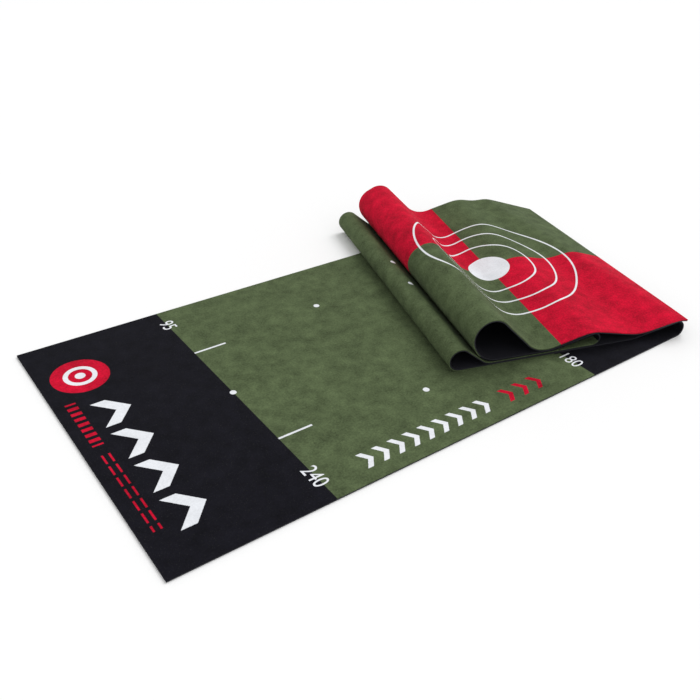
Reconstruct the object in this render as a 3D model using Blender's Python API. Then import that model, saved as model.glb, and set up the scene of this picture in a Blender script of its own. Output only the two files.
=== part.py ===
"""Practice putting mat, put away folded over itself in five layers.

A long strip of two bonded layers, a printed pile and a rubber backing. The near panel lies flat with its pile up.
The rest is folded back and forth over it. Each stretch between two bend lines is one rigid strip that turns about
the bend line. The origin lies on the underside below the tee spot, +X runs towards the target and +Z is up.
"""

from math import cos, radians, sin, tan

import bmesh
import bpy
from mathutils import Matrix, Vector

# The sheet, in metres
WIDTH = 0.65
PILE = 0.0015
BACKING = 0.0022
BOND_GAP = 0.0003
TEE_LINE = 0.283
CLEARANCE = 0.0003
CUT = 0.0003

# Flat runs, measured along the front edge
NEAR_FLAT = 1.147
SECOND_FLAT = 0.388
THIRD_FLAT = 0.2265
FOURTH_FLAT = 0.1155
RISE = 0.072
CREST_RUN = 0.093
LAST_RUN = 0.0815
END_RUN = 0.0075

# Bends: turn in degrees, radius of the bond between the layers, slant of the bend line across the mat
FOLD_SLANT = 8.4
FIRST_RADIUS = 0.0137
FIRST_SLOPE = 13.0
SECOND_RADIUS = 0.0225
SECOND_SLOPE = 39.0
THIRD_RADIUS = 0.01245
THIRD_SLOPE = 13.0
EASE_RADIUS = 0.03
ROLL_FOOT = (-75.6, 0.059, -0.5)
ROLL_BACK = (-76.0, 0.038, -0.4)
ROLL_TOP = (-73.4, 0.036, 0.8)
VALLEY = (60.9, 0.06, 0.4)
CREST = (-28.7, 0.05, 0.4)
DIP = (25.5, 0.06, -5.5)
DROOP = (-30.7, 0.02, -11.8)

# How far outside its centre a tight fold turns, as a share of its radius
FOLD_PIVOT_SHARE = 0.35
ARC_STEP = 9.0

UNDER = BACKING + BOND_GAP / 2
OVER = PILE + BOND_GAP / 2
PILE_TO_PILE = 2 * OVER + CLEARANCE
BACK_TO_BACK = 2 * UNDER + CLEARANCE
LAYER_2 = UNDER + PILE_TO_PILE
LAYER_3 = LAYER_2 + BACK_TO_BACK
LAYER_4 = LAYER_3 + PILE_TO_PILE
LAYER_5 = LAYER_4 + BACK_TO_BACK


class Bend:
    """One bend of the sheet: from the line u = start + v tan(slant), the sheet turns by turn degrees."""

    def __init__(self, name, start, turn, radius, slant, tight):
        self.name = name
        self.start = start
        self.turn = radians(turn)
        self.radius = radius
        self.slant = radians(slant)
        self.tight = tight
        self.sign = 1.0 if turn > 0 else -1.0
        self.arc = radius * abs(self.turn)
        self.forward = Vector((cos(self.slant), -sin(self.slant), 0.0))
        self.across = Vector((sin(self.slant), cos(self.slant), 0.0))
        self.origin = Vector((start, 0.0, 0.0))

    def end(self):
        return self.start + self.arc / cos(self.slant)

    def at(self, distance):
        """The frame change from the flat sheet to a point that lies distance along the arc."""
        angle = self.sign * distance / self.radius
        turn = Matrix.Rotation(-angle, 4, self.across)
        reached = self.sign * self.radius * Vector((0, 0, 1 - cos(angle)))
        reached += self.radius * sin(abs(angle)) * self.forward
        flat = self.origin + distance * self.forward
        return Matrix.Translation(self.origin + reached) @ turn @ Matrix.Translation(-flat)

    def pivot(self):
        """A point on the hinge axis, in the frame of the sheet before the bend."""
        half = abs(self.turn) / 2
        if self.tight:
            offset = FOLD_PIVOT_SHARE * self.radius
        else:
            skin = OVER if self.sign < 0 else UNDER
            offset = max(self.radius * half / sin(half), self.radius + skin)
        outward = self.forward * sin(half) - Vector((0, 0, self.sign * cos(half)))
        centre = self.origin + Vector((0, 0, self.sign * self.radius))
        return centre + offset * outward


class Plan:
    """Lays the sheet out from its near edge, keeping track of the height and heading along the front edge."""

    def __init__(self):
        self.at = 0.0
        self.height = UNDER
        self.heading = 0.0
        self.bends = []

    def run(self, length, slant=0.0):
        self.at += length / cos(radians(slant))
        self.height += length * sin(radians(self.heading))

    def bend(self, name, turn, radius, slant=0.0, tight=False):
        made = Bend(name, self.at, turn, radius, slant, tight)
        self.bends.append(made)
        before = radians(self.heading)
        after = radians(self.heading + turn)
        self.height += made.sign * radius * (cos(before) - cos(after))
        self.heading += turn
        self.at = made.end()

    def land(self, name, level, turn, radius, slant=0.0, lowest=None):
        """Runs down to the height from which the bend touches level, then bends."""
        before = radians(self.heading)
        last = before + radians(turn) if lowest is None else radians(lowest)
        drop = radius * (cos(before) - cos(last)) * (1.0 if turn > 0 else -1.0)
        self.run((level - drop - self.height) / sin(before), slant)
        self.bend(name, turn, radius, slant)


def fold_plan():
    plan = Plan()
    plan.run(NEAR_FLAT)
    plan.bend("first_fold", 180 + FIRST_SLOPE, FIRST_RADIUS, FOLD_SLANT, True)
    plan.land("first_ease", LAYER_2, -FIRST_SLOPE, EASE_RADIUS, FOLD_SLANT)
    plan.run(SECOND_FLAT)
    plan.bend("second_fold", -180 - SECOND_SLOPE, SECOND_RADIUS, 0.0, True)
    plan.land("second_ease", LAYER_3, SECOND_SLOPE, EASE_RADIUS)
    plan.run(THIRD_FLAT)
    plan.bend("third_fold", 180 + THIRD_SLOPE, THIRD_RADIUS, 0.0, True)
    plan.land("third_ease", LAYER_4, -THIRD_SLOPE, EASE_RADIUS)
    plan.run(FOURTH_FLAT)
    plan.bend("roll_foot", *ROLL_FOOT)
    plan.bend("roll_back", *ROLL_BACK)
    plan.bend("roll_top", *ROLL_TOP)
    plan.land("valley", LAYER_5, *VALLEY, lowest=360)
    plan.run(RISE)
    plan.bend("crest", *CREST)
    plan.run(CREST_RUN)
    plan.bend("dip", *DIP)
    plan.run(LAST_RUN)
    plan.bend("droop", *DROOP)
    return plan.bends


# The rigid stretches between the middles of the bends, from the near edge to the far one
STRIPS = [
    "near_panel",
    "first_slope",
    "second_panel",
    "second_slope",
    "third_panel",
    "third_slope",
    "fourth_panel",
    "roll_side",
    "roll_crown",
    "roll_descent",
    "target_valley",
    "target_crest",
    "target_dip",
    "target_corner",
]
MOSS = (0.075, 0.16, 0.022, 1.0)
NAVY = (0.012, 0.014, 0.03, 1.0)
RUBBER = (0.02, 0.02, 0.02, 1.0)


class Station:
    """One line across the sheet: the frame that the sheet has there, the line's own place and its slant."""

    def __init__(self, frame, origin, slant):
        self.frame = frame
        self.origin = origin
        self.slant = slant

    def corner(self, v, height):
        flat = self.origin + Vector((v * tan(self.slant), v, height))
        return self.frame @ flat


def square_station(frame, u):
    return Station(frame, Vector((u, 0.0, 0.0)), 0.0)


def bend_station(frame, bend, distance):
    """The line that lies distance along the bend's arc, or on the flat sheet before its start or past its end."""
    held = min(max(distance, 0.0), bend.arc)
    line = Vector((bend.start + distance / cos(bend.slant), 0.0, 0.0))
    return Station(frame @ bend.at(held), line, bend.slant)


def arc_stations(frame, bend, first, last):
    """Lines from first to last along the arc, close enough to draw it round."""
    steps = max(1, round(abs(bend.turn) * (last - first) / bend.arc / radians(ARC_STEP)))
    return [bend_station(frame, bend, first + (last - first) * i / steps) for i in range(steps + 1)]


def layer_mesh(name, stations, low, high):
    """A closed slab between two heights above the bond, swept through the stations."""
    mesh = bpy.data.meshes.new(name)
    shape = bmesh.new()
    rings = []
    for station in stations:
        corners = [(0.0, low), (WIDTH, low), (WIDTH, high), (0.0, high)]
        rings.append([shape.verts.new(station.corner(v, h)) for v, h in corners])
    for before, after in zip(rings, rings[1:]):
        for i in range(4):
            j = (i + 1) % 4
            shape.faces.new((before[i], before[j], after[j], after[i]))
    shape.faces.new(rings[0])
    shape.faces.new(rings[-1][::-1])
    bmesh.ops.recalc_face_normals(shape, faces=shape.faces)
    shape.to_mesh(mesh)
    shape.free()
    return mesh


def material(name, colour, roughness):
    made = bpy.data.materials.new(name)
    made.use_nodes = True
    shader = made.node_tree.nodes["Principled BSDF"]
    shader.inputs["Base Color"].default_value = colour
    shader.inputs["Roughness"].default_value = roughness
    shader.inputs["Metallic"].default_value = 0.0
    return made


def add_layers(name, stations, hinge, pile_material, rubber):
    """The pile and the backing of one stretch of the mat, both carried by its hinge."""
    layers = [("pile", BOND_GAP / 2, OVER, pile_material), ("backing", -UNDER, -BOND_GAP / 2, rubber)]
    for layer, low, high, finish in layers:
        mesh = layer_mesh(f"{layer}_{name}", stations, low, high)
        mesh.materials.append(finish)
        piece = bpy.data.objects.new(f"{layer}_{name}", mesh)
        bpy.context.scene.collection.objects.link(piece)
        if hinge is not None:
            mesh.transform(Matrix.Translation(-hinge.matrix_world.translation))
            piece.parent = hinge


def add_hinge(name, place, parent):
    hinge = bpy.data.objects.new(f"{name}_hinge", None)
    hinge.empty_display_size = 0.02
    bpy.context.scene.collection.objects.link(hinge)
    hinge.parent = parent
    hinge.location = place - (parent.matrix_world.translation if parent else Vector())
    bpy.context.view_layer.update()
    return hinge


def build_mat():
    for left_over in list(bpy.data.objects):
        bpy.data.objects.remove(left_over)
    rubber = material("black_rubber", RUBBER, 0.75)
    navy = material("navy_pile", NAVY, 0.95)
    moss = material("moss_green_pile", MOSS, 0.95)
    navy_strips = {"near_panel", "first_slope", "second_slope", "third_panel"}

    frame = Matrix.Translation((-TEE_LINE, -WIDTH / 2, UNDER))
    stations = [square_station(frame, 0.0)]
    hinge = None
    bends = fold_plan()
    for strip, bend in zip(STRIPS, bends):
        finish = navy if strip in navy_strips else moss
        reach = -CUT / 2 if bend.tight else bend.arc / 2 - CUT / 2
        if bend.tight:
            stations.append(bend_station(frame, bend, reach))
        else:
            stations += arc_stations(frame, bend, 0.0, reach)
        add_layers(strip, stations, hinge, finish, rubber)
        if bend.tight:
            loop = arc_stations(frame, bend, CUT / 2, bend.arc - CUT / 2)
            add_layers(bend.name, loop, hinge, finish, rubber)
        hinge = add_hinge(bend.name, frame @ bend.pivot(), hinge)
        if bend.tight:
            stations = [bend_station(frame, bend, bend.arc + CUT / 2)]
        else:
            stations = arc_stations(frame, bend, bend.arc / 2 + CUT / 2, bend.arc)
        frame = frame @ bend.at(bend.arc)
    stations.append(square_station(frame, bends[-1].end() + END_RUN))
    add_layers(STRIPS[-1], stations, hinge, moss, rubber)


build_mat()
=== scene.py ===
"""Looks of a practice putting mat that is put away folded over itself in five layers.

The mat is one long sheet of two bonded layers, a printed pile and a rubber backing. Each piece here is one
stretch of one layer. It starts as a flat grid in the mat's own coordinates, u along the mat and v across it,
and is then carried round the bends, so the print lies on the folded mat as it does on the flat one.
"""

from math import ceil, cos, pi, radians, sin, tan

import bpy
from mathutils import Matrix, Vector


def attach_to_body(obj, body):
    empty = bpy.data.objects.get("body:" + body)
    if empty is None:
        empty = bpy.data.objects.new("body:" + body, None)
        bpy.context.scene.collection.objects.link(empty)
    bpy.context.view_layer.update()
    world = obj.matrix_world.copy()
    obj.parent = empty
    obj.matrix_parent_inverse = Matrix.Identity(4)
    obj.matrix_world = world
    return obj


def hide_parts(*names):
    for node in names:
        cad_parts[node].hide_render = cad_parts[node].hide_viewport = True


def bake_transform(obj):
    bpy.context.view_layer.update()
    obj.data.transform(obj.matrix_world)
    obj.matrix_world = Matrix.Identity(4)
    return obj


bl_info = {
    "name": "Practice Putting Mat",
    "version": (1, 0, 0),
    "blender": (4, 5, 0),
    "location": "View3D > Sidebar > Putting Mat",
    "description": "Printed pile, rubber backing and studio for a folded putting mat",
    "category": "Object",
}

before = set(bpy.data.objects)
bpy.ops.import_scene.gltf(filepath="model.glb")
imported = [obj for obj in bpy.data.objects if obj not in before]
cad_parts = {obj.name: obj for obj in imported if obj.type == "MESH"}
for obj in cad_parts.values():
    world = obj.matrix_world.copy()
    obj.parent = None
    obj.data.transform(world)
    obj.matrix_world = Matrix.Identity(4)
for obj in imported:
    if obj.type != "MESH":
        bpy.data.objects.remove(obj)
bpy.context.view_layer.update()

# The sheet, in metres
WIDTH = 0.65
PILE = 0.0015
BACKING = 0.0022
BOND_GAP = 0.0003
TEE_LINE = 0.283
CLEARANCE = 0.0003

# Flat runs, measured along the front edge
NEAR_FLAT = 1.147
SECOND_FLAT = 0.388
THIRD_FLAT = 0.2265
FOURTH_FLAT = 0.1155
RISE = 0.072
CREST_RUN = 0.093
LAST_RUN = 0.0815
END_RUN = 0.0075

# Bends: turn in degrees, radius of the bond between the layers, slant of the bend line across the mat
FOLD_SLANT = 8.4
FIRST_RADIUS = 0.0137
FIRST_SLOPE = 13.0
SECOND_RADIUS = 0.0225
SECOND_SLOPE = 39.0
THIRD_RADIUS = 0.01245
THIRD_SLOPE = 13.0
EASE_RADIUS = 0.03
ROLL_FOOT = (-75.6, 0.059, -0.5)
ROLL_BACK = (-76.0, 0.038, -0.4)
ROLL_TOP = (-73.4, 0.036, 0.8)
VALLEY = (60.9, 0.06, 0.4)
CREST = (-28.7, 0.05, 0.4)
DIP = (25.5, 0.06, -5.5)
DROOP = (-30.7, 0.02, -11.8)

UNDER = BACKING + BOND_GAP / 2
OVER = PILE + BOND_GAP / 2
PILE_TO_PILE = 2 * OVER + CLEARANCE
BACK_TO_BACK = 2 * UNDER + CLEARANCE
LAYER_2 = UNDER + PILE_TO_PILE
LAYER_3 = LAYER_2 + BACK_TO_BACK
LAYER_4 = LAYER_3 + PILE_TO_PILE
LAYER_5 = LAYER_4 + BACK_TO_BACK

# How finely a stretch is drawn along the mat, and across it
FLAT_STEP = 0.006
BEND_STEP = 0.0032
FOLD_STEP = 0.0012
ACROSS_STEPS = 52
# What keeps the two layers' touching faces just apart, inside the bond
BOND_SLIT = 0.00002
# How far either way the top layer's gentle bends are eased out, and in how many steps
SOFT_REACH = 0.036
SOFT_STEPS = 6
# How much further than a bend's own arc its hinge's turn is spread, on the gentle bends of the top layer
SPREAD = 0.012


# ---------------------------------------------------------------- folding


class Bend:
    """One bend of the sheet: from the line u = start + v tan(slant), the sheet turns by turn degrees."""

    def __init__(self, start, turn, radius, slant, tight):
        self.start = start
        self.turn = radians(turn)
        self.radius = radius
        self.slant = radians(slant)
        self.tight = tight
        self.sign = 1.0 if turn > 0 else -1.0
        self.arc = radius * abs(self.turn)
        self.forward = Vector((cos(self.slant), -sin(self.slant), 0.0))
        self.across = Vector((sin(self.slant), cos(self.slant), 0.0))
        self.origin = Vector((start, 0.0, 0.0))
        self.frame = Matrix.Identity(4)

    def end(self):
        return self.start + self.arc / cos(self.slant)

    def past(self, u, v):
        """How far the flat point (u, v) lies past the start of the bend, square to the bend line."""
        return (u - self.start - v * tan(self.slant)) * cos(self.slant)

    def at(self, distance):
        """The frame change from the flat sheet to a point that lies distance along the arc."""
        angle = self.sign * distance / self.radius
        turn = Matrix.Rotation(-angle, 4, self.across)
        reached = self.sign * self.radius * Vector((0, 0, 1 - cos(angle)))
        reached += self.radius * sin(abs(angle)) * self.forward
        flat = self.origin + distance * self.forward
        return Matrix.Translation(self.origin + reached) @ turn @ Matrix.Translation(-flat)


class Plan:
    """Lays the sheet out from its near edge, keeping track of the height and heading along the front edge."""

    def __init__(self):
        self.at = 0.0
        self.height = UNDER
        self.heading = 0.0
        self.bends = []

    def run(self, length, slant=0.0):
        self.at += length / cos(radians(slant))
        self.height += length * sin(radians(self.heading))

    def bend(self, turn, radius, slant=0.0, tight=False):
        made = Bend(self.at, turn, radius, slant, tight)
        self.bends.append(made)
        before = radians(self.heading)
        after = radians(self.heading + turn)
        self.height += made.sign * radius * (cos(before) - cos(after))
        self.heading += turn
        self.at = made.end()

    def land(self, level, turn, radius, slant=0.0, lowest=None):
        """Runs down to the height from which the bend touches level, then bends."""
        before = radians(self.heading)
        last = before + radians(turn) if lowest is None else radians(lowest)
        drop = radius * (cos(before) - cos(last)) * (1.0 if turn > 0 else -1.0)
        self.run((level - drop - self.height) / sin(before), slant)
        self.bend(turn, radius, slant)


def fold_plan():
    plan = Plan()
    plan.run(NEAR_FLAT)
    plan.bend(180 + FIRST_SLOPE, FIRST_RADIUS, FOLD_SLANT, True)
    plan.land(LAYER_2, -FIRST_SLOPE, EASE_RADIUS, FOLD_SLANT)
    plan.run(SECOND_FLAT)
    plan.bend(-180 - SECOND_SLOPE, SECOND_RADIUS, 0.0, True)
    plan.land(LAYER_3, SECOND_SLOPE, EASE_RADIUS)
    plan.run(THIRD_FLAT)
    plan.bend(180 + THIRD_SLOPE, THIRD_RADIUS, 0.0, True)
    plan.land(LAYER_4, -THIRD_SLOPE, EASE_RADIUS)
    plan.run(FOURTH_FLAT)
    plan.bend(*ROLL_FOOT)
    plan.bend(*ROLL_BACK)
    plan.bend(*ROLL_TOP)
    plan.land(LAYER_5, *VALLEY, lowest=360)
    plan.run(RISE)
    plan.bend(*CREST)
    plan.run(CREST_RUN)
    plan.bend(*DIP)
    plan.run(LAST_RUN)
    plan.bend(*DROOP)
    reached = Matrix.Translation((-TEE_LINE, -WIDTH / 2, UNDER))
    for bend in plan.bends:
        bend.frame = reached
        reached = reached @ bend.at(bend.arc)
    return plan.bends, reached


BENDS, LAST_FRAME = fold_plan()
VALLEY_BEND, CREST_BEND, DIP_BEND, DROOP_BEND = BENDS[-4:]


def softness(u):
    """How far the top layer's bends are eased out along the mat, growing from nothing past the valley."""
    share = (u - VALLEY_BEND.end()) / (CREST_BEND.start - VALLEY_BEND.end())
    share = min(max(share, 0.0), 1.0)
    return SOFT_REACH * share * share * (3 - 2 * share)


def folded(u, v, height):
    """Where the flat point (u, v), at a height above the bond, lies on the folded mat."""
    reach = softness(u)
    if reach == 0.0:
        return creased(u, v, height)
    steps = [i / SOFT_STEPS for i in range(-SOFT_STEPS, SOFT_STEPS + 1)]
    weights = [1 + cos(pi * step) for step in steps]
    places = [creased(u + reach * step, v, height) for step in steps]
    return sum((weight * place for weight, place in zip(weights, places)), Vector()) / sum(weights)


def creased(u, v, height):
    """Where the flat point lies when every bend is a plain arc between straight runs."""
    flat = Vector((u, v, height))
    for bend in BENDS:
        past = bend.past(u, v)
        if past < 0:
            return bend.frame @ flat
        if past < bend.arc:
            return bend.frame @ bend.at(past) @ flat
    return LAST_FRAME @ flat


def line_straight(u):
    return lambda v: u


def line_before(bend):
    return lambda v: bend.start + v * tan(bend.slant)


def line_after(bend):
    return lambda v: bend.end() + v * tan(bend.slant)


def line_between(first, second):
    """The line halfway between the end of one bend and the start of the next."""
    return lambda v: (line_after(first)(v) + line_before(second)(v)) / 2


class Stretch:
    """A stretch of the mat: its end lines, its bodies, its bend and the CAD strips it stands for."""

    def __init__(self, name, start, end, bodies, bend, strips):
        self.name = name
        self.start = start
        self.end = end
        self.bodies = bodies
        self.bend = bend
        self.strips = strips
        self.step = FLAT_STEP if bend is None else FOLD_STEP if bend.tight else BEND_STEP

    def length(self):
        """The mean of the front and back edges' flat lengths."""
        return (self.end(0) - self.start(0) + self.end(WIDTH) - self.start(WIDTH)) / 2


def stretches():
    """The stretches from the near edge to the far one, each starting on the line where the last one ends."""
    fold1, ease1, fold2, ease2, fold3, ease3, foot, back, top = BENDS[:-4]
    slope1 = ["first_slope", "second_panel"]
    slope2 = ["second_slope", "third_panel"]
    corner = ["target_dip", "target_corner"]
    crown = ["roll_crown", "roll_descent"]
    descent = ["roll_descent", "target_valley"]
    rise = ["target_valley", "target_crest"]
    fall = ["target_crest", "target_dip"]
    climb = line_between(VALLEY_BEND, CREST_BEND)
    far_edge = line_straight(DROOP_BEND.end() + END_RUN)
    # Name, end line, bodies, bend, CAD strips
    rows = [
        ("near_panel", line_before(fold1), ["root"], None, ["near_panel"]),
        ("first_fold", line_after(fold1), ["root", "first_slope"], fold1, ["first_fold"]),
        ("second_panel", line_before(fold2), slope1, ease1, slope1),
        ("second_fold", line_after(fold2), ["second_panel", "second_slope"], fold2, ["second_fold"]),
        ("third_panel", line_before(fold3), slope2, ease2, slope2),
        ("third_fold", line_after(fold3), ["third_panel", "third_slope"], fold3, ["third_fold"]),
        ("fourth_panel", line_between(ease3, foot), ["third_slope", "fourth_panel"], ease3, ["third_slope"]),
        ("roll_foot", line_between(foot, back), ["fourth_panel", "roll_side"], foot, ["fourth_panel"]),
        ("roll_side", line_between(back, top), ["roll_side", "roll_crown"], back, ["roll_side"]),
        ("roll_crown", line_between(top, VALLEY_BEND), crown, top, ["roll_crown"]),
        ("target_valley", climb, descent, VALLEY_BEND, ["roll_descent"]),
        ("target_crest", line_between(CREST_BEND, DIP_BEND), rise, CREST_BEND, ["target_valley"]),
        ("target_dip", line_between(DIP_BEND, DROOP_BEND), fall, DIP_BEND, ["target_crest"]),
        ("target_corner", far_edge, corner, DROOP_BEND, corner),
    ]
    made = []
    start = line_straight(0.0)
    for name, end, bodies, bend, strips in rows:
        made.append(Stretch(name, start, end, bodies, bend, strips))
        start = end
    return made


# ---------------------------------------------------------------- shader maths


class Value:
    """A socket that takes part in Python arithmetic; each operation adds its Math node."""

    def __init__(self, graph, socket):
        self.graph = graph
        self.socket = socket

    def _math(self, operation, *others, clamp=False):
        return self._node(operation, (self, *others), clamp)

    def _node(self, operation, terms, clamp=False):
        settings = {"operation": operation, "use_clamp": clamp}
        made = self.graph.node("ShaderNodeMath", settings, dict(enumerate(terms)))
        return Value(self.graph, made.outputs[0])

    def __add__(self, other):
        return self._math("ADD", other)

    def __radd__(self, other):
        return self._math("ADD", other)

    def __sub__(self, other):
        return self._math("SUBTRACT", other)

    def __rsub__(self, other):
        return self._node("SUBTRACT", (other, self))

    def __mul__(self, other):
        return self._math("MULTIPLY", other)

    def __rmul__(self, other):
        return self._math("MULTIPLY", other)

    def __abs__(self):
        return self._math("ABSOLUTE")

    def less(self, other, soft):
        """1 where the value is below the number other, fading out over a width of soft."""
        return (self * (-1.0 / soft) + (other / soft + 0.5)).clamped()

    def clamped(self):
        return self._math("ADD", 0.0, clamp=True)

    def either(self, other):
        return self._math("MAXIMUM", other)

    def wrapped(self, period):
        return self._math("WRAP", period, 0.0)

    def root(self):
        return self._math("SQRT")

    def cosine(self):
        return self._math("COSINE")

    def angle(self, other):
        return self._math("ARCTAN2", other)


class Graph:
    """A material's node tree, with one method that adds any node."""

    def __init__(self, name):
        self.material = bpy.data.materials.new(name)
        self.material.use_nodes = True
        self.tree = self.material.node_tree
        self.shader = self.tree.nodes["Principled BSDF"]

    def node(self, kind, settings, values):
        made = self.tree.nodes.new(kind)
        for name, setting in settings.items():
            setattr(made, name, setting)
        for name, value in values.items():
            self.join(made.inputs[name], value)
        return made

    def join(self, socket, value):
        if isinstance(value, Value):
            value = value.socket
        if isinstance(value, bpy.types.NodeSocket):
            self.tree.links.new(value, socket)
        else:
            socket.default_value = value

    def mix(self, factor, first, second, blend="MIX"):
        settings = {"data_type": "RGBA", "blend_type": blend}
        made = self.node("ShaderNodeMix", settings, {"Factor": factor, 6: first, 7: second})
        return made.outputs[2]

    def noise(self, place, scale, detail=2.0, roughness=0.5):
        values = {"Vector": place, "Scale": scale, "Detail": detail, "Roughness": roughness}
        return Value(self, self.node("ShaderNodeTexNoise", {}, values).outputs[0])


# How far the tufts scatter a printed edge, how finely, and the width over which it fades
FUZZ = 0.0016
FUZZ_SCALE = 900.0
PRINT_EDGE = 0.0008


class Place:
    """The mat's flat coordinates at a point of the surface: x from the tee line on, y to the left."""

    def __init__(self, graph):
        self.graph = graph
        self.uv = graph.node("ShaderNodeUVMap", {"uv_map": "flat"}, {}).outputs[0]
        values = {"Vector": self.uv, "Scale": FUZZ_SCALE, "Detail": 1.0}
        fuzz = graph.node("ShaderNodeTexNoise", {}, values)
        parts = graph.node("ShaderNodeSeparateColor", {}, {0: fuzz.outputs["Color"]}).outputs
        flat = graph.node("ShaderNodeSeparateXYZ", {}, {0: self.uv}).outputs
        self.x = Value(graph, flat[0]) + (Value(graph, parts[0]) - 0.5) * FUZZ
        self.y = Value(graph, flat[1]) + (Value(graph, parts[1]) - 0.5) * FUZZ

    def disc(self, x, y, radius):
        return self.distance(x, y).less(radius, PRINT_EDGE)

    def distance(self, x, y):
        across = self.x - x
        along = self.y - y
        return (across * across + along * along).root()

    def box(self, x, y, half_x, half_y):
        inside = abs(self.x - x).less(half_x, PRINT_EDGE)
        return inside * abs(self.y - y).less(half_y, PRINT_EDGE)

    def band(self, low, high):
        return abs(self.x - (low + high) / 2).less((high - low) / 2, PRINT_EDGE)


# ---------------------------------------------------------------- the print

# Places on the mat are metres along it from the tee line, then metres to the left of its middle
BAND = 0.6
# How far the first band runs past the near edge, so that its own edge never shows
MARGIN = 0.01
TARGET_START = 2.083
HOLE = (2.375, -0.008)
HOLE_RADIUS = 0.047

# Contour lines round the hole: radius and turn of each, and what share of its radius each lobed wave moves it
CONTOURS = ((0.099, 2.2), (0.149, 2.8), (0.197, 3.4))
CONTOUR_WIDTH = 0.0042
TWO_LOBES = 0.035
TWO_LOBES_TURN = 0.3
THREE_LOBES = 0.03
FIVE_LOBES = 0.016

# White spots: their radius, and each pair's place along the mat and two places across it
SPOT_RADIUS = 0.0062
SPOT_PAIRS = ((0.298, 0.175, -0.185), (0.898, 0.115, -0.115), (1.487, 0.045, -0.057))
# The dash on either side of the tee spot: half its length, half its width and the two places across the mat
DASH_HALF_LENGTH = 0.0335
DASH_HALF_WIDTH = 0.0021
DASHES = (0.151, -0.155)

# Rows of small arrowheads along the front edge: start, count and pitch of each
WHITE_ROW = (0.083, 9, 0.0325)
RED_ROW = (0.403, 3, 0.0365)
ROW_MIDDLE = -0.279
ROW_HALF_WIDTH = 0.0185
ROW_LEAN = 0.7
ROW_STROKE = 0.0055

# Four bold arrowheads near the start
BOLD_TIP = -0.179
BOLD_MIDDLES = (0.066, -0.028, -0.122, -0.216)
BOLD_HALF_WIDTH = 0.037
BOLD_LEAN = 0.9
BOLD_STROKE = 0.0135

# A red disc with a white ring and dot in it
DISC = (-0.208, 0.197)
DISC_RADIUS = 0.053
DISC_RING = 0.026
DISC_RING_STROKE = 0.0045
DISC_DOT = 0.0095

# Short red bars side by side, as the middle and half size of their block, and two rails of red dashes
BARS = (-0.2535, 0.058, 0.0095, 0.066)
BAR_PITCH = 0.0165
BAR_STROKE = 0.0042
RAILS = (-0.2525, -0.134)
RAILS_HALF_LENGTH = 0.1
RAILS_APART = 0.006
RAIL_STROKE = 0.0017
RAIL_PITCH = 0.031
RAIL_DASH = 0.0115


def any_of(masks):
    joined = masks[0]
    for mask in masks[1:]:
        joined = joined.either(mask)
    return joined


def contour_ring(place, radius, turn):
    """A closed contour line round the hole, wandering a little in and out like a height line on a green."""
    x, y = HOLE
    angle = (place.y - y).angle(place.x - x)
    wander = TWO_LOBES * (2.0 * angle + TWO_LOBES_TURN).cosine() + THREE_LOBES * (3.0 * angle + turn).cosine()
    wander = wander + FIVE_LOBES * (5.0 * angle + 2.0 * turn).cosine()
    return abs(place.distance(x, y) - (1.0 + wander) * radius).less(CONTOUR_WIDTH / 2, PRINT_EDGE)


def chevrons(place, start, count, pitch):
    """A row of arrowheads along the front edge, pointing to the target."""
    across = abs(place.y - ROW_MIDDLE)
    along = place.x - start + across * ROW_LEAN
    arm = abs(along.wrapped(pitch) - pitch / 2).less(ROW_STROKE, PRINT_EDGE)
    length = count * pitch
    row = abs(along - length / 2).less(length / 2, PRINT_EDGE)
    return arm * row * across.less(ROW_HALF_WIDTH, PRINT_EDGE)


def aiming_marks(place):
    """White marks for setting up a putt: the tee spot, the dashes beside it and the pairs of spots."""
    marks = [place.disc(0.0, 0.0, SPOT_RADIUS)]
    marks += [place.box(DASH_HALF_LENGTH, y, DASH_HALF_LENGTH, DASH_HALF_WIDTH) for y in DASHES]
    for x, *pair in SPOT_PAIRS:
        marks += [place.disc(x, y, SPOT_RADIUS) for y in pair]
    return any_of(marks)


def near_blocks(place):
    """Four bold arrowheads side by side near the start, in place of lettering."""
    marks = []
    for y in BOLD_MIDDLES:
        across = abs(place.y - y)
        arm = abs(place.x - BOLD_TIP + across * BOLD_LEAN).less(BOLD_STROKE, PRINT_EDGE)
        marks.append(arm * across.less(BOLD_HALF_WIDTH, PRINT_EDGE))
    return any_of(marks)


def red_hatch(place):
    """A row of short red bars and two rows of thin dashes along the near edge."""
    bars = abs(place.y.wrapped(BAR_PITCH) - BAR_PITCH / 2).less(BAR_STROKE, PRINT_EDGE)
    bars = bars * place.box(*BARS)
    x, y = RAILS
    dashes = abs(place.y.wrapped(RAIL_PITCH) - RAIL_PITCH / 2).less(RAIL_DASH, PRINT_EDGE)
    rails = abs(abs(place.x - x) - RAILS_APART).less(RAIL_STROKE, PRINT_EDGE)
    dashes = dashes * rails * abs(place.y - y).less(RAILS_HALF_LENGTH, PRINT_EDGE)
    return bars.either(dashes)


def ring_and_dot(place):
    from_middle = place.distance(*DISC)
    ring = abs(from_middle - DISC_RING).less(DISC_RING_STROKE, PRINT_EDGE)
    return ring.either(from_middle.less(DISC_DOT, PRINT_EDGE))


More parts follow.
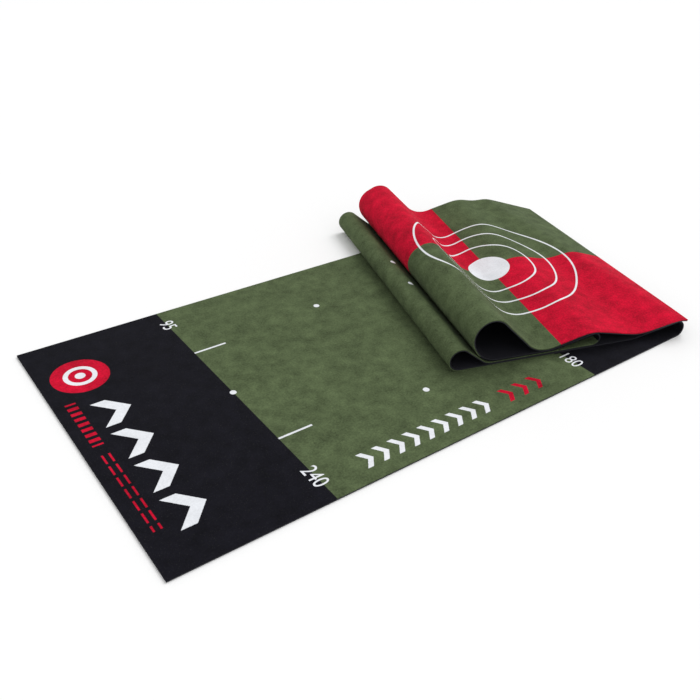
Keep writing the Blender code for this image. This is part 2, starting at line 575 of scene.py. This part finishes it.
def print_colour(graph, place, inks):
    """The printed pattern as one colour, and where it is white."""
    bands = ((-TEE_LINE - MARGIN, 0.0), (BAND, 2 * BAND), (3 * BAND, TARGET_START))
    navy_bands = any_of([place.band(low, high) for low, high in bands])
    ground = graph.mix(navy_bands, inks["green"], inks["navy"])
    on_target = 1.0 - place.x.less(TARGET_START, PRINT_EDGE)
    left = place.x.less(HOLE[0], PRINT_EDGE)
    back = 1.0 - place.y.less(0.0, PRINT_EDGE)
    red_quarters = (left * back + (1.0 - left) * (1.0 - back)) * on_target
    ground = graph.mix(red_quarters, ground, inks["red"])
    reds = any_of([place.disc(*DISC, DISC_RADIUS), red_hatch(place), chevrons(place, *RED_ROW)])
    ground = graph.mix(reds, ground, inks["red"])
    whites = [ring_and_dot(place), near_blocks(place), aiming_marks(place), chevrons(place, *WHITE_ROW)]
    whites += [contour_ring(place, radius, turn) for radius, turn in CONTOURS]
    whites.append(place.disc(*HOLE, HOLE_RADIUS))
    bleached = any_of(whites)
    return graph.mix(bleached, ground, inks["white"]), bleached


# ---------------------------------------------------------------- materials


# Noise scales over the mat's own metres, from the finest to the broadest
GRAIN_SCALE = 1500.0
TUFT_SCALE = 1100.0
FIBRE_SCALE = 640.0
CLUMP_SCALE = 260.0
WORN_SCALE = 38.0
DUST_SCALE = 14.0
BRUSHED_SCALE = 9.0

STRAY_FIBRE = (0.55, 0.57, 0.45, 1.0)
STRAY_FIBRE_STRENGTH = 0.07
PILE_SHEEN = (0.85, 0.9, 0.82, 1.0)
# How much of the pile's shading the white ink hides
WHITE_COVERS = 0.75
PILE_RELIEF = 0.0007
NUMBER_RELIEF = 0.0003
RUBBER_RELIEF = 0.0003
RUBBER_GRID = 0.0024
# Turns a distance inside the rubber's grid into a height from 0 to about 1
GRID_GAIN = 800.0


def tinted(graph, factor, colour, shade):
    """The colour multiplied by a grey."""
    grey = graph.node("ShaderNodeCombineColor", {}, {0: shade, 1: shade, 2: shade}).outputs[0]
    return graph.mix(factor, colour, grey, "MULTIPLY")


def pile_material(name, colour_of, relief):
    """Short dense pile: uneven fine tufts, broad brushed patches and stray pale fibres."""
    graph = Graph(name)
    place = Place(graph)
    colour, bleached = colour_of(graph, place)
    tufts = graph.noise(place.uv, TUFT_SCALE, detail=3.0, roughness=0.7)
    clumps = graph.noise(place.uv, CLUMP_SCALE, detail=3.0, roughness=0.6)
    brushed = graph.noise(place.uv, BRUSHED_SCALE, detail=4.0, roughness=0.55)
    worn = graph.noise(place.uv, WORN_SCALE, detail=3.0, roughness=0.6)
    # Noise is a half on average, so these shares less the last number leave the colour as it is on average
    shade = tufts * 0.85 + clumps * 1.25 + brushed * 0.6 + worn * 1.2 - 0.95
    colour = tinted(graph, 1.0 - WHITE_COVERS * bleached, colour, shade)
    fibres = 1.0 - graph.noise(place.uv, FIBRE_SCALE, detail=1.0).less(0.71, 0.04)
    colour = graph.mix(fibres * STRAY_FIBRE_STRENGTH, colour, STRAY_FIBRE)
    rough = (0.86 + clumps * 0.16).clamped()
    lift = tufts * 0.65 + clumps * 0.35 + worn * 0.12
    bump = graph.node("ShaderNodeBump", {}, {"Strength": 0.75, "Distance": relief, "Height": lift})
    graph.join(graph.shader.inputs["Base Color"], colour)
    graph.join(graph.shader.inputs["Roughness"], rough)
    graph.join(graph.shader.inputs["Normal"], bump.outputs[0])
    graph.shader.inputs["Specular IOR Level"].default_value = 0.08
    graph.shader.inputs["Sheen Weight"].default_value = 0.02
    graph.shader.inputs["Sheen Roughness"].default_value = 0.45
    graph.shader.inputs["Sheen Tint"].default_value = PILE_SHEEN
    return graph.material


def rubber_material(colour):
    """Black rubber with a fine moulded grid, a fine grain and uneven dust."""
    graph = Graph("black_rubber")
    place = Place(graph)
    flat = graph.node("ShaderNodeSeparateXYZ", {}, {0: place.uv}).outputs
    along = Value(graph, flat[0]) + Value(graph, flat[1])
    across = Value(graph, flat[0]) - Value(graph, flat[1])
    half = RUBBER_GRID / 2
    ridges = [abs(value.wrapped(RUBBER_GRID) - half) for value in (along, across)]
    grid = any_of(ridges) * GRID_GAIN
    grain = graph.noise(place.uv, GRAIN_SCALE, detail=2.0, roughness=0.6)
    dust = graph.noise(place.uv, DUST_SCALE, detail=4.0, roughness=0.6)
    tone = 0.7 + grain * 0.35 + dust * 0.4
    graph.join(graph.shader.inputs["Base Color"], tinted(graph, 1.0, colour, tone))
    graph.join(graph.shader.inputs["Roughness"], (0.58 + dust * 0.25).clamped())
    lift = grid * 0.6 + grain * 0.4
    bump = graph.node("ShaderNodeBump", {}, {"Strength": 0.4, "Distance": RUBBER_RELIEF, "Height": lift})
    graph.join(graph.shader.inputs["Normal"], bump.outputs[0])
    graph.shader.inputs["Specular IOR Level"].default_value = 0.3
    return graph.material


# ---------------------------------------------------------------- pieces


# The digits printed on the mat: what they say and their middle's place
NUMBERS = [("95", 0.0, 0.271), ("240", -0.002, -0.265), ("180", BAND, -0.265)]
DIGIT_SIZE = 0.041
DIGIT_NARROWING = 0.8
DIGIT_CURVE_STEPS = 6
INK_HEIGHT = 0.00012
# Edges that turn by more than this, in degrees, are shaded hard
SHARP_EDGE = 40.0


def select_only(piece=None):
    bpy.ops.object.select_all(action="DESELECT")
    bpy.context.view_layer.objects.active = piece
    if piece is not None:
        piece.select_set(True)


def map_flat(mesh, origin=(0.0, 0.0)):
    """Gives a flat mesh its own places, counted from the origin, as its UV map."""
    layer = mesh.uv_layers.active or mesh.uv_layers.new(name="flat")
    layer.name = "flat"
    for loop in mesh.loops:
        place = mesh.vertices[loop.vertex_index].co
        layer.uv[loop.index].vector = (place.x - origin[0], place.y - origin[1])


def flat_grid(stretch, name):
    """A flat grid for one stretch, shaped to its end lines, with the mat's own coordinates as its UV map."""
    select_only()
    longest = max(stretch.end(v) - stretch.start(v) for v in (0.0, WIDTH))
    along = max(3, ceil(longest / stretch.step))
    bpy.ops.mesh.primitive_grid_add(x_subdivisions=along, y_subdivisions=ACROSS_STEPS, size=1.0)
    piece = bpy.context.active_object
    piece.name = name
    mesh = piece.data
    mesh.name = name
    for vertex in mesh.vertices:
        v = (vertex.co.y + 0.5) * WIDTH
        low, high = stretch.start(v), stretch.end(v)
        vertex.co = (low + (vertex.co.x + 0.5) * (high - low), v, 0.0)
    map_flat(mesh, (TEE_LINE, WIDTH / 2))
    return piece


def fold_up(piece, height):
    """Carries a flat grid round the bends, at a height above the bond."""
    for vertex in piece.data.vertices:
        vertex.co = folded(vertex.co.x, vertex.co.y, height)


def give_thickness(piece, thickness, side):
    """Turns the folded grid into a closed sheet that grows to one side of the bond."""
    select_only(piece)
    wall = piece.modifiers.new("wall", "SOLIDIFY")
    wall.thickness = thickness
    wall.offset = side
    wall.use_even_offset = True
    bpy.ops.object.modifier_apply(modifier=wall.name)
    bpy.ops.object.shade_smooth_by_angle(angle=radians(SHARP_EDGE))


def attach(piece, stretch):
    """Lets a flat piece ride on its body; a bent piece is only baked where it lies, and its hinge ends are
    worked out but not used.
    """
    if stretch.bend is None:
        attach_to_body(piece, stretch.bodies[0])
        return
    bend = stretch.bend
    spread = SPREAD if bend in (CREST_BEND, DIP_BEND) else 0.0
    entry = Vector((line_before(bend)(WIDTH / 2), WIDTH / 2, 0.0))
    start = folded(*(entry - spread * bend.forward))
    end = folded(*(entry + (bend.arc + spread) * bend.forward))
    if bend.tight:
        inset = (end - start).normalized() * OVER
        start, end = start + inset, end - inset
    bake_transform(piece)
    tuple(start)
    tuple(end)


def lay_sheet(layer, stretch, base, thickness, side, finish):
    """One layer of one stretch, growing from its base height by its thickness to one side."""
    piece = flat_grid(stretch, f"{layer}_{stretch.name}_sheet")
    fold_up(piece, base)
    give_thickness(piece, thickness, side)
    piece.data.materials.clear()
    piece.data.materials.append(finish)
    attach(piece, stretch)
    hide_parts(*[f"{layer}_{strip}" for strip in stretch.strips])
    stretch.length()


def lay_number(text, x, y, finish):
    """A printed number, read along the tee line, as a thin raised layer of white pile."""
    select_only()
    bpy.ops.object.text_add(location=(0, 0, 0))
    piece = bpy.context.active_object
    piece.data.body = text
    piece.data.size = DIGIT_SIZE
    piece.data.align_x = "CENTER"
    piece.data.align_y = "CENTER"
    piece.data.extrude = INK_HEIGHT
    piece.data.resolution_u = DIGIT_CURVE_STEPS
    select_only(piece)
    bpy.ops.object.convert(target="MESH")
    piece = bpy.context.active_object
    piece.name = f"distance_{text}"
    top = UNDER + OVER
    shape = Matrix.Translation((x, y, top)) @ Matrix.Rotation(-pi / 2, 4, "Z")
    piece.data.transform(shape @ Matrix.Diagonal((DIGIT_NARROWING, 1.0, 1.0, 1.0)))
    map_flat(piece.data)
    piece.data.materials.clear()
    piece.data.materials.append(finish)
    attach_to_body(piece, "root")


# ---------------------------------------------------------------- sizes and colours


def colour_property(name, description, default):
    return bpy.props.FloatVectorProperty(
        name=name, description=description, subtype="COLOR", size=4, min=0.0, max=1.0, default=default
    )


def angle_property(name, description, default):
    turn = radians(default)
    return bpy.props.FloatProperty(name=name, description=description, unit="ROTATION", default=turn)


class MatInks(bpy.types.PropertyGroup):
    """Colours of the mat."""

    green: colour_property("Moss green", "Pile of the putting bands", (0.085, 0.1145, 0.0535, 1.0))
    navy: colour_property("Navy", "Pile of the bands between them", (0.0068, 0.0066, 0.0105, 1.0))
    red: colour_property("Crimson", "Target quarters and accents", (0.54, 0.0035, 0.027, 1.0))
    white: colour_property("White", "Lines, numbers and the hole", (0.8, 0.82, 0.86, 1.0))
    rubber: colour_property("Rubber", "The backing", (0.0165, 0.0165, 0.0225, 1.0))


class MatStage(bpy.types.PropertyGroup):
    """Camera and light."""

    camera_place: bpy.props.FloatVectorProperty(
        name="Camera place",
        description="Where the camera stands",
        subtype="XYZ",
        unit="LENGTH",
        default=(-0.5347, -1.0447, 0.8685),
    )
    azimuth: angle_property("Azimuth", "Turn of the camera about the vertical", -37.25)
    elevation: angle_property("Elevation", "How steeply the camera looks down", 33.44)
    roll: angle_property("Roll", "Turn of the camera about its view line", 2.39)
    lens: bpy.props.FloatProperty(name="Lens", description="Focal length in millimetres", default=41.2)
    sky_light: bpy.props.FloatProperty(name="Sky light", description="Light from all round", default=0.74)
    key_light: bpy.props.FloatProperty(name="Key light", description="Light from one side", default=1.25)
    floor_colour: colour_property("Floor", "Plain pale floor", (0.96, 0.96, 0.96, 1.0))


def inks_of(context):
    inks = context.scene.mat_inks
    return {name: tuple(getattr(inks, name)) for name in ("green", "navy", "red", "white", "rubber")}


# ---------------------------------------------------------------- operators


class MAT_OT_pile(bpy.types.Operator):
    """Lay the printed pile over the whole folded mat"""

    bl_idname = "mat.pile"
    bl_label = "Printed pile"

    def execute(self, context):
        inks = inks_of(context)
        finish = pile_material(
            "printed_pile", lambda graph, place: print_colour(graph, place, inks), PILE_RELIEF
        )
        base = BOND_SLIT - BOND_GAP / 2
        for stretch in stretches():
            lay_sheet("pile", stretch, base, OVER - base, 1.0, finish)
        return {"FINISHED"}


class MAT_OT_backing(bpy.types.Operator):
    """Lay the rubber backing under the whole folded mat"""

    bl_idname = "mat.backing"
    bl_label = "Rubber backing"

    def execute(self, context):
        finish = rubber_material(inks_of(context)["rubber"])
        for stretch in stretches():
            lay_sheet("backing", stretch, -BOND_GAP / 2, BACKING, -1.0, finish)
        return {"FINISHED"}


class MAT_OT_numbers(bpy.types.Operator):
    """Print the numbers beside the tee line and the next line"""

    bl_idname = "mat.numbers"
    bl_label = "Distance numbers"

    def execute(self, context):
        white = inks_of(context)["white"]
        finish = pile_material("white_pile", lambda graph, place: (white, 1.0), NUMBER_RELIEF)
        for text, x, y in NUMBERS:
            lay_number(text, x, y, finish)
        return {"FINISHED"}


FLOOR_SIZE = 60.0
# How far the floor lies under the mat, so that the two never share a surface
FLOOR_DROP = 0.0004
SUN_TOWARDS = (-0.75, -0.25, -1.0)
SUN_ANGLE = 40.0
SENSOR_WIDTH = 36.0


class MAT_OT_stage(bpy.types.Operator):
    """Set up the floor, the soft light and the camera"""

    bl_idname = "mat.stage"
    bl_label = "Studio"

    def execute(self, context):
        stage = context.scene.mat_stage
        select_only()
        bpy.ops.mesh.primitive_plane_add(size=FLOOR_SIZE, location=(0.5, 0.0, 0.0))
        floor = context.active_object
        floor.name = "studio_floor"
        floor.data.transform(Matrix.Translation((0.0, 0.0, -FLOOR_DROP)))
        graph = Graph("pale_floor")
        graph.join(graph.shader.inputs["Base Color"], tuple(stage.floor_colour))
        graph.shader.inputs["Roughness"].default_value = 0.9
        graph.shader.inputs["Specular IOR Level"].default_value = 0.1
        floor.data.materials.append(graph.material)

        world = bpy.data.worlds.new("pale_studio")
        world.use_nodes = True
        background = world.node_tree.nodes["Background"]
        background.inputs["Color"].default_value = (1.0, 1.0, 1.0, 1.0)
        background.inputs["Strength"].default_value = stage.sky_light
        context.scene.world = world

        select_only()
        bpy.ops.object.light_add(type="SUN", location=(1.5, 0.5, 2.0))
        lamp = context.active_object
        lamp.name = "soft_key_light"
        lamp.data.energy = stage.key_light
        lamp.data.angle = radians(SUN_ANGLE)
        lamp.rotation_euler = Vector(SUN_TOWARDS).to_track_quat("-Z", "Y").to_euler()

        select_only()
        bpy.ops.object.camera_add(location=tuple(stage.camera_place))
        camera = context.active_object
        camera.name = "studio_camera"
        turned = Matrix.Rotation(stage.azimuth, 4, "Z")
        tilted = Matrix.Rotation(pi / 2 - stage.elevation, 4, "X")
        rolled = Matrix.Rotation(stage.roll, 4, "Z")
        camera.matrix_world = Matrix.Translation(tuple(stage.camera_place)) @ turned @ tilted @ rolled
        camera.data.lens = stage.lens
        camera.data.sensor_width = SENSOR_WIDTH
        context.scene.camera = camera
        context.scene.view_settings.view_transform = "Standard"
        return {"FINISHED"}


class MAT_PT_panel(bpy.types.Panel):
    """Lists the steps that make the mat"""

    bl_label = "Putting Mat"
    bl_idname = "MAT_PT_panel"
    bl_space_type = "VIEW_3D"
    bl_region_type = "UI"
    bl_category = "Putting Mat"

    def draw(self, context):
        for step in STEPS:
            self.layout.operator(step.bl_idname)
        for group in (context.scene.mat_inks, context.scene.mat_stage):
            for name in group.__annotations__:
                self.layout.prop(group, name)


STEPS = (MAT_OT_stage, MAT_OT_pile, MAT_OT_backing, MAT_OT_numbers)
CLASSES = (MatInks, MatStage, *STEPS, MAT_PT_panel)


def register():
    for kind in CLASSES:
        bpy.utils.register_class(kind)
    bpy.types.Scene.mat_inks = bpy.props.PointerProperty(type=MatInks)
    bpy.types.Scene.mat_stage = bpy.props.PointerProperty(type=MatStage)


def unregister():
    del bpy.types.Scene.mat_stage
    del bpy.types.Scene.mat_inks
    for kind in reversed(CLASSES):
        bpy.utils.unregister_class(kind)


def main():
    register()
    bpy.ops.mat.stage()
    bpy.ops.mat.pile()
    bpy.ops.mat.backing()
    bpy.ops.mat.numbers()


if __name__ == "__main__":
    main()
